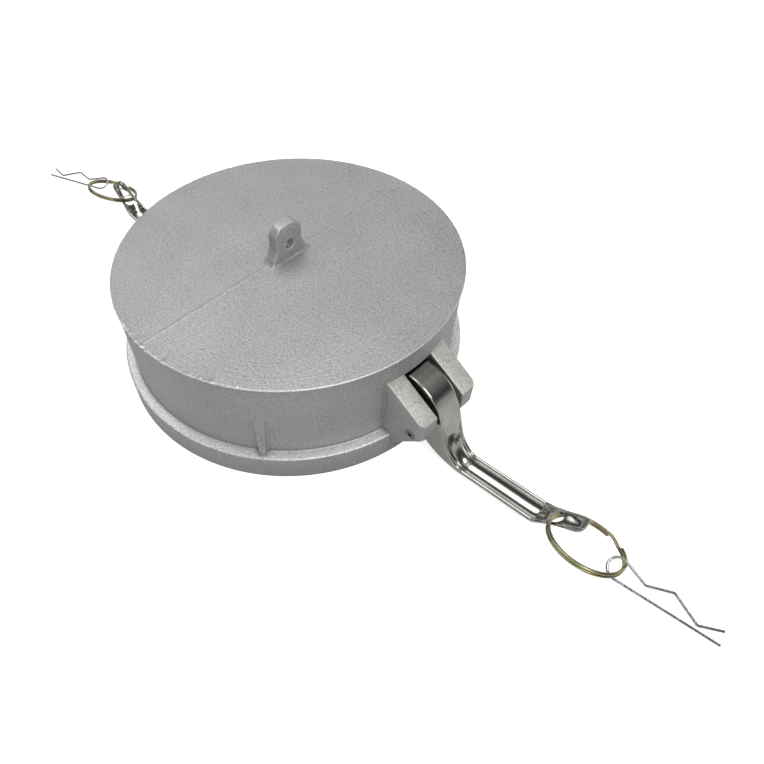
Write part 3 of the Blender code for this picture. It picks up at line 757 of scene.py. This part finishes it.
def ring_frame(side):
    """The ring's placement: its origin in the arm's hole, x to the ring's centre, z its normal."""
    sign = SIDES[side]
    middle, down = arm_tip_hole()
    seat = middle - RING_LIFT * down
    hole = Vector((sign * (PIVOT_X + seat.x), 0, PIVOT_HEIGHT + seat.y))
    flat = math.cos(RING_RISE)
    inward = Vector((sign * flat * math.cos(RING_YAW), flat * math.sin(RING_YAW), math.sin(RING_RISE)))
    level = Vector((0, 0, 1)).cross(inward).normalized() * sign
    upright = inward.cross(level) * sign
    normal = upright * math.cos(RING_ROLL) + level * math.sin(RING_ROLL)
    return frame_matrix(hole, inward, normal)


def wire_section():
    """A flat wire's section with round edges."""
    points = []
    for i in range(16):
        angle = 2 * math.pi * i / 16
        cosine, sine = math.cos(angle), math.sin(angle)
        out = math.copysign(abs(cosine) ** 0.55, cosine) * RING_WIRE_WIDTH / 2
        up = math.copysign(abs(sine) ** 0.75, sine) * RING_WIRE_THICKNESS / 2
        points.append((out, up))
    return points


def split_ring(side, look):
    """Two turns that lie on each other, with one step from the lower turn to the upper."""
    rise = RING_WIRE_THICKNESS + RING_TURN_GAP
    start = RING_STEP_ANGLE + RING_END_GAP
    offset = SIDES[side] * RING_STEP_AT - RING_STEP_ANGLE / 2
    stop = 4 * math.pi - RING_END_GAP
    steps = 2 * RING_STEPS_PER_TURN
    wire = wire_section()
    sections = []
    for i in range(steps + 1):
        angle = start + (stop - start) * i / steps
        climb = min(max((angle - 2 * math.pi) / RING_STEP_ANGLE, 0), 1)
        height = (climb * climb * (3 - 2 * climb) - 0.5) * rise
        around = angle + offset
        cosine, sine = math.cos(around), math.sin(around)
        section = []
        for out, up in wire:
            reach = RING_RADIUS + out
            section.append((RING_RADIUS + reach * cosine, reach * sine, height + up))
        sections.append(section)
    ring = loft(f"ring_{side}_zinc", sections)
    ring.data.transform(ring_frame(side))
    ring.data.materials.append(look)
    return smooth(ring, math.radians(50))


def rounded_path(points, radius):
    """Replaces each inner corner of a flat path by a short arc."""
    path = [Vector(points[0])]
    for before, here, after in zip(points, points[1:], points[2:]):
        here = Vector(here)
        back = (Vector(before) - here).normalized()
        on = (Vector(after) - here).normalized()
        half = back.angle(on) / 2
        reach = radius / math.tan(half)
        centre = here + (back + on).normalized() * radius / math.sin(half)
        first, last = here + back * reach, here + on * reach
        for i in range(9):
            step = (first.lerp(last, i / 8) - centre).normalized()
            path.append(centre + step * radius)
    path.append(Vector(points[-1]))
    return path


def clip_path(side):
    """The clip's centre line in its own plane: x along the straight leg, the ring at the origin."""
    eye = CLIP_EYE_RADIUS
    points = [Vector((CLIP_LENGTH, -eye)), Vector((0.5 * CLIP_LENGTH, -eye))]
    for i in range(CLIP_EYE_STEPS + 1):
        angle = -math.pi / 2 - (1.5 * math.pi - CLIP_EYE_LEAVE) * i / CLIP_EYE_STEPS
        points.append(Vector((eye * math.cos(angle), eye * math.sin(angle))))
    wave = rounded_path([points[-1].to_tuple(), *CLIP_WAVE], CLIP_BEND_RADIUS)
    return [point - Vector(CLIP_SEAT[side]) for point in points + wave[1:]]


def clip_frame(side):
    """The clip's placement: its origin on the ring's wire, x along the legs, y to the wavy leg."""
    sign = SIDES[side]
    around = sign * CLIP_ON_RING
    on_wire = Vector((RING_RADIUS + RING_RADIUS * math.cos(around), RING_RADIUS * math.sin(around), 0))
    yaw = CLIP_YAW[side]
    pitch = CLIP_PITCH[side]
    flat = math.cos(pitch)
    along = Vector((sign * flat * math.cos(yaw), flat * math.sin(yaw), -math.sin(pitch)))
    level = Vector((0, 0, 1)).cross(along).normalized() * sign
    upright = along.cross(level) * sign
    across = level * math.cos(CLIP_ROLL) + upright * math.sin(CLIP_ROLL)
    return frame_matrix(ring_frame(side) @ on_wire, along, along.cross(across))


def hairpin_clip(side, look):
    curve = bpy.data.curves.new(f"clip_{side}_wire", "CURVE")
    curve.dimensions = "3D"
    curve.bevel_depth = CLIP_WIRE_RADIUS
    curve.bevel_resolution = 4
    curve.use_fill_caps = True
    path = clip_path(side)
    spline = curve.splines.new("POLY")
    spline.points.add(len(path) - 1)
    for point, place in zip(spline.points, path):
        point.co = (place.x, place.y, 0, 1)
    clip = add_object(f"clip_{side}_wire", curve)
    clip.matrix_world = clip_frame(side)
    clip = weld(bake_modifiers(clip))
    clip.data.materials.append(look)
    return smooth(clip, math.radians(60))


class Graph:
    """A material's node graph with short calls for the nodes used here."""

    def __init__(self, name):
        self.material = bpy.data.materials.new(name)
        self.material.use_nodes = True
        self.tree = self.material.node_tree
        self.shader = self.tree.nodes["Principled BSDF"]
        self.place = self.node("ShaderNodeTexCoord").outputs["Object"]

    def node(self, kind, **settings):
        made = self.tree.nodes.new(kind)
        for key, value in settings.items():
            setattr(made, key, value)
        return made

    def link(self, source, target):
        self.tree.links.new(source, target)

    def noise(self, scale, detail=4, roughness=0.55):
        made = self.node("ShaderNodeTexNoise")
        made.inputs["Scale"].default_value = scale
        made.inputs["Detail"].default_value = detail
        made.inputs["Roughness"].default_value = roughness
        self.link(self.place, made.inputs["Vector"])
        return made.outputs["Fac"]

    def ramp(self, factor, stops):
        made = self.node("ShaderNodeValToRGB")
        elements = made.color_ramp.elements
        while len(elements) < len(stops):
            elements.new(0.5)
        for element, (position, value) in zip(elements, stops):
            element.position = position
            colour = value if isinstance(value, tuple) else (value, value, value)
            element.color = (*colour, 1)
        self.link(factor, made.inputs["Fac"])
        return made.outputs["Color"]

    def math(self, operation, first, second):
        made = self.node("ShaderNodeMath", operation=operation)
        for socket, value in zip(made.inputs, (first, second)):
            if isinstance(value, (int, float)):
                socket.default_value = value
            else:
                self.link(value, socket)
        return made.outputs[0]

    def mix(self, factor, first, second, blend="MIX"):
        made = self.node("ShaderNodeMix", data_type="RGBA", blend_type=blend)
        sockets = (made.inputs[0], made.inputs[6], made.inputs[7])
        for socket, value in zip(sockets, (factor, first, second)):
            if isinstance(value, (int, float)):
                socket.default_value = value
            elif isinstance(value, tuple):
                socket.default_value = (*value, 1)
            else:
                self.link(value, socket)
        return made.outputs[2]

    def bump(self, height, distance, strength=1.0, normal=None):
        made = self.node("ShaderNodeBump")
        made.inputs["Strength"].default_value = strength
        made.inputs["Distance"].default_value = distance
        self.link(height, made.inputs["Height"])
        if normal is not None:
            self.link(normal, made.inputs["Normal"])
        return made.outputs["Normal"]

    def rounded(self, radius):
        made = self.node("ShaderNodeBevel", samples=6)
        made.inputs["Radius"].default_value = radius
        return made.outputs["Normal"]

    def edge_wear_and_highlight(self, radius, low, high):
        """A mask for pale edges, partly wear and partly a painted highlight: runs from 0 on open faces to
        1 along edges.
        """
        geometry = self.node("ShaderNodeNewGeometry")
        made = self.node("ShaderNodeVectorMath", operation="DOT_PRODUCT")
        self.link(self.rounded(radius), made.inputs[0])
        self.link(geometry.outputs["Normal"], made.inputs[1])
        return self.ramp(made.outputs["Value"], [(low, 1.0), (high, 0.0)])

    def corners(self, distance, dark):
        """Painted shade: runs from dark in each inner corner to 1 on open faces."""
        made = self.node("ShaderNodeAmbientOcclusion", samples=6)
        made.inputs["Distance"].default_value = distance
        return self.ramp(made.outputs["AO"], [(0.35, dark), (0.90, 1.0)])

    def circles(self, scale):
        """Fine lines round the cap's axis."""
        flat = self.node("ShaderNodeVectorMath", operation="MULTIPLY")
        flat.inputs[1].default_value = (1, 1, 0)
        self.link(self.place, flat.inputs[0])
        reach = self.node("ShaderNodeVectorMath", operation="LENGTH")
        self.link(flat.outputs["Vector"], reach.inputs[0])
        made = self.node("ShaderNodeTexNoise", noise_dimensions="1D")
        made.inputs["Scale"].default_value = scale
        made.inputs["Detail"].default_value = 2
        self.link(reach.outputs["Value"], made.inputs["W"])
        near_edge = self.ramp(reach.outputs["Value"], [(0.050, 0.0), (0.090, 1.0)])
        return self.math("MULTIPLY", made.outputs["Fac"], near_edge)

    def finish(self, colour, roughness, normal, metallic):
        self.link(colour, self.shader.inputs["Base Color"])
        self.link(roughness, self.shader.inputs["Roughness"])
        self.link(normal, self.shader.inputs["Normal"])
        self.shader.inputs["Metallic"].default_value = metallic
        return self.material


def cast_look(name, tone, grain=1.0, lines=0.0, roughness=(0.44, 0.62), edge=0.0007):
    """As-cast aluminium: sandy grain and small pits, painted shade in each inner corner, and pale edges
    that are partly wear and partly a painted highlight.
    """
    graph = Graph(name)
    sand = graph.noise(1150, detail=3, roughness=0.65)
    lumps = graph.noise(480, detail=4, roughness=0.65)
    patches = graph.noise(24, detail=3)
    dark = tuple((1 - 0.36 * grain) * value for value in tone)
    light = tuple((1 + 0.30 * grain) * value for value in tone)
    speckle = graph.ramp(sand, [(0.34, dark), (0.50, tone), (0.66, light)])
    clouds = graph.ramp(patches, [(0.35, 0.94), (0.65, 1.04)])
    colour = graph.mix(1.0, speckle, clouds, blend="MULTIPLY")
    pits = graph.ramp(lumps, [(0.32, 1 - 0.30 * grain), (0.45, 1.0)])
    colour = graph.mix(1.0, colour, pits, blend="MULTIPLY")
    # Painted shade: darker in each inner corner.
    colour = graph.mix(1.0, colour, graph.corners(0.0028, 0.28), blend="MULTIPLY")
    # Pale edges: partly wear, partly a painted highlight.
    pale = tuple(min(0.9, 1.55 * value) for value in tone)
    colour = graph.mix(graph.edge_wear_and_highlight(edge, 0.90, 0.995), colour, pale)
    low, high = roughness
    rough = graph.ramp(lumps, [(0.35, low), (0.65, high)])
    normal = graph.rounded(0.0006)
    normal = graph.bump(lumps, 0.00030, 0.7 * grain, normal)
    normal = graph.bump(sand, 0.00016, 0.7 * grain, normal)
    if lines:
        normal = graph.bump(graph.circles(900), 0.00022, lines, normal)
    return graph.finish(colour, rough, normal, 0.62)


def stainless_look():
    """Tumbled stainless casting: half bright, with a slight wave and fine scratches."""
    graph = Graph("tumbled_stainless")
    waves = graph.noise(90, detail=2)
    fine = graph.noise(1500, detail=4, roughness=0.7)
    colour = graph.ramp(waves, [(0.35, (0.45, 0.44, 0.42)), (0.65, (0.54, 0.53, 0.505))])
    # Painted shade: darker in each inner corner.
    colour = graph.mix(1.0, colour, graph.corners(0.003, 0.35), blend="MULTIPLY")
    rough = graph.ramp(fine, [(0.3, 0.13), (0.7, 0.24)])
    normal = graph.rounded(0.0003)
    normal = graph.bump(waves, 0.00010, 0.4, normal)
    normal = graph.bump(fine, 0.00001, 0.4, normal)
    return graph.finish(colour, rough, normal, 1.0)


def spring_steel_look():
    graph = Graph("rolled_strip")
    grain = graph.noise(900, detail=3)
    colour = graph.ramp(grain, [(0.35, (0.30, 0.29, 0.28)), (0.65, (0.46, 0.45, 0.43))])
    # Painted shade: darker in each inner corner and between the turns.
    colour = graph.mix(1.0, colour, graph.corners(0.0012, 0.12), blend="MULTIPLY")
    rough = graph.ramp(grain, [(0.3, 0.30), (0.7, 0.46)])
    normal = graph.bump(grain, 0.00003, 0.5)
    return graph.finish(colour, rough, normal, 1.0)


def zinc_look():
    """Yellow chromated zinc: olive and straw tints that run into brown."""
    graph = Graph("yellow_zinc")
    tint = graph.noise(70, detail=3)
    fine = graph.noise(1600, detail=3)
    stops = [
        (0.34, (0.35, 0.26, 0.20)),
        (0.46, (0.42, 0.39, 0.22)),
        (0.56, (0.47, 0.47, 0.27)),
        (0.68, (0.40, 0.37, 0.26)),
    ]
    colour = graph.ramp(tint, stops)
    # Painted shade: darker in each inner corner and where the turns meet.
    colour = graph.mix(1.0, colour, graph.corners(0.0008, 0.25), blend="MULTIPLY")
    rough = graph.ramp(fine, [(0.3, 0.14), (0.7, 0.26)])
    normal = graph.bump(fine, 0.00001, 0.4)
    return graph.finish(colour, rough, normal, 1.0)


def wire_look():
    graph = Graph("drawn_wire")
    grain = graph.noise(700, detail=3)
    colour = graph.ramp(grain, [(0.35, (0.36, 0.36, 0.37)), (0.65, (0.56, 0.56, 0.57))])
    rough = graph.ramp(grain, [(0.3, 0.20), (0.7, 0.34)])
    normal = graph.bump(grain, 0.00002, 0.5)
    return graph.finish(colour, rough, normal, 1.0)


def rubber_look():
    graph = Graph("nitrile_rubber")
    grain = graph.noise(900, detail=4)
    bloom = graph.noise(35, detail=2)
    colour = graph.ramp(bloom, [(0.35, (0.014, 0.014, 0.014)), (0.7, (0.032, 0.031, 0.030))])
    rough = graph.ramp(grain, [(0.3, 0.62), (0.7, 0.80)])
    normal = graph.bump(grain, 0.00005, 0.5)
    return graph.finish(colour, rough, normal, 0.0)


def floor():
    """A pale floor, white to the camera, that keeps the part's shadow."""
    bpy.ops.mesh.primitive_plane_add(size=8, location=(0, 0, 0))
    plane = bpy.context.object
    plane.name = "floor"
    made = bpy.data.materials.new("floor")
    made.use_nodes = True
    tree = made.node_tree
    shader = tree.nodes["Principled BSDF"]
    shader.inputs["Base Color"].default_value = (FLOOR_TONE, FLOOR_TONE, FLOOR_TONE, 1)
    shader.inputs["Roughness"].default_value = 0.9
    shader.inputs["Specular IOR Level"].default_value = 0.1
    shader.inputs["Emission Color"].default_value = (1, 1, 1, 1)
    rays = tree.nodes.new("ShaderNodeLightPath")
    lifts = []
    for ray, amount in (("Is Camera Ray", FLOOR_LIFT), ("Is Glossy Ray", FLOOR_GLOSSY_LIFT)):
        lift = tree.nodes.new("ShaderNodeMath")
        lift.operation = "MULTIPLY"
        lift.inputs[1].default_value = amount
        tree.links.new(rays.outputs[ray], lift.inputs[0])
        lifts.append(lift)
    total = tree.nodes.new("ShaderNodeMath")
    total.operation = "ADD"
    for lift, socket in zip(lifts, total.inputs):
        tree.links.new(lift.outputs[0], socket)
    tree.links.new(total.outputs[0], shader.inputs["Emission Strength"])
    plane.data.materials.append(made)


def studio_world():
    """A white surround low down, a dark band above it and a wide soft light overhead.

    The camera itself sees plain white.
    """
    world = bpy.data.worlds.new("studio")
    bpy.context.scene.world = world
    world.use_nodes = True
    tree = world.node_tree
    background = tree.nodes["Background"]
    coordinates = tree.nodes.new("ShaderNodeTexCoord")
    direction = coordinates.outputs["Generated"]

    def banded(source, stops):
        ramp = tree.nodes.new("ShaderNodeValToRGB")
        elements = ramp.color_ramp.elements
        while len(elements) < len(stops):
            elements.new(0.5)
        for element, (position, value) in zip(elements, stops):
            element.position = position
            element.color = (value, value, value, 1)
        tree.links.new(source, ramp.inputs["Fac"])
        return ramp.outputs["Color"]

    split = tree.nodes.new("ShaderNodeSeparateXYZ")
    tree.links.new(direction, split.inputs[0])
    room = banded(split.outputs["Z"], ROOM_BANDS)
    toward = tree.nodes.new("ShaderNodeVectorMath")
    toward.operation = "DOT_PRODUCT"
    toward.inputs[1].default_value = SOFTBOX_DIRECTION
    tree.links.new(direction, toward.inputs[0])
    softbox = banded(toward.outputs["Value"], SOFTBOX_BANDS)
    sides = banded(split.outputs["X"], SIDE_BANDS)

    def mixed(kind, first, second):
        made = tree.nodes.new("ShaderNodeMix")
        made.data_type = "RGBA"
        made.blend_type = kind
        made.inputs[0].default_value = 1.0
        tree.links.new(first, made.inputs[6])
        if isinstance(second, float):
            made.inputs[7].default_value = (second, second, second, 1)
        else:
            tree.links.new(second, made.inputs[7])
        return made.outputs[2]

    room = mixed("MULTIPLY", room, sides)
    softbox = mixed("MULTIPLY", softbox, SOFTBOX_STRENGTH)
    seen = tree.nodes.new("ShaderNodeMix")
    seen.data_type = "RGBA"
    white = 1 / WORLD_STRENGTH
    seen.inputs[7].default_value = (white, white, white, 1)
    rays = tree.nodes.new("ShaderNodeLightPath")
    tree.links.new(rays.outputs["Is Camera Ray"], seen.inputs[0])
    tree.links.new(mixed("ADD", room, softbox), seen.inputs[6])
    tree.links.new(seen.outputs[2], background.inputs["Color"])
    background.inputs["Strength"].default_value = WORLD_STRENGTH


def key_lamp():
    data = bpy.data.lights.new("key", "AREA")
    data.shape = "RECTANGLE"
    data.size = KEY_SIDE
    data.size_y = KEY_SIDE
    data.energy = KEY_WATTS
    obj = add_object("key", data)
    obj.location = KEY_PLACE
    aim = Vector(KEY_TARGET) - Vector(KEY_PLACE)
    obj.rotation_euler = aim.to_track_quat("-Z", "Y").to_euler()


def camera():
    data = bpy.data.cameras.new("camera")
    data.sensor_width = SENSOR_MM
    data.lens = CAMERA_FOCAL_PIXELS / PICTURE_PIXELS * SENSOR_MM
    centre_x, centre_y = CAMERA_CENTRE_PIXEL
    data.shift_x = (PICTURE_PIXELS / 2 - centre_x) / PICTURE_PIXELS
    data.shift_y = (centre_y - PICTURE_PIXELS / 2) / PICTURE_PIXELS
    data.clip_start = CAMERA_NEAREST
    obj = add_object("camera", data)
    back = CAMERA_RIGHT.cross(CAMERA_UP)
    rotation = Matrix((CAMERA_RIGHT, CAMERA_UP, back)).transposed().to_4x4()
    obj.matrix_world = Matrix.Translation(CAMERA_PLACE) @ rotation
    bpy.context.scene.camera = obj
    bpy.context.scene.view_settings.view_transform = "Standard"


def dress():
    """Builds every visible piece, ties it to its body and hides the solids that it stands for."""
    # Lit and shaded copies of one cast aluminium: the wall darker as painted shade, the flange top and ear
    # tops paler as painted light, the lip paler as a painted highlight, and the lug's wider pale edge more
    # painted highlight.
    wall = cast_look("cast_wall_shaded", (0.43, 0.43, 0.425), grain=0.65)
    closed_end = cast_look("cast_end", (0.46, 0.46, 0.455), grain=0.9, lines=0.6)
    lit_flange_top = cast_look("cast_flange_lit", (0.84, 0.84, 0.83), grain=0.7)
    lit_ear_top = cast_look("cast_ear_lit", (0.66, 0.645, 0.61), grain=0.75)
    lip = cast_look("cast_lip_highlight", (0.80, 0.80, 0.79), grain=0.8, roughness=(0.28, 0.45))
    lug_metal = cast_look("cast_lug", (0.50, 0.50, 0.49), grain=0.8, edge=0.0018)
    body = cap([wall, closed_end, lit_flange_top, lit_ear_top, lip, lug_metal])
    line = seam(closed_end)
    for piece in (body, line):
        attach(piece, "cap")
    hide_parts("cap_body")
    seal = gasket(rubber_look())
    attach(seal, "cap")
    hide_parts("gasket")
    stainless = stainless_look()
    strip = spring_steel_look()
    zinc = zinc_look()
    wire = wire_look()
    for side in SIDES:
        for piece, carrier, slot, node in (
            (cam_arm(side, stainless), f"arm_{side}", "cast_stainless", f"cam_arm_{side}"),
            (coiled_pin(side, strip), "cap", "spring_steel", f"pivot_pin_{side}"),
            (split_ring(side, zinc), f"ring_{side}", "yellow_zinc", f"split_ring_{side}"),
            (hairpin_clip(side, wire), f"clip_{side}", "plain_wire", f"hairpin_clip_{side}"),
        ):
            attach(piece, carrier)
            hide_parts(node)


dress()
floor()
studio_world()
key_lamp()
camera()
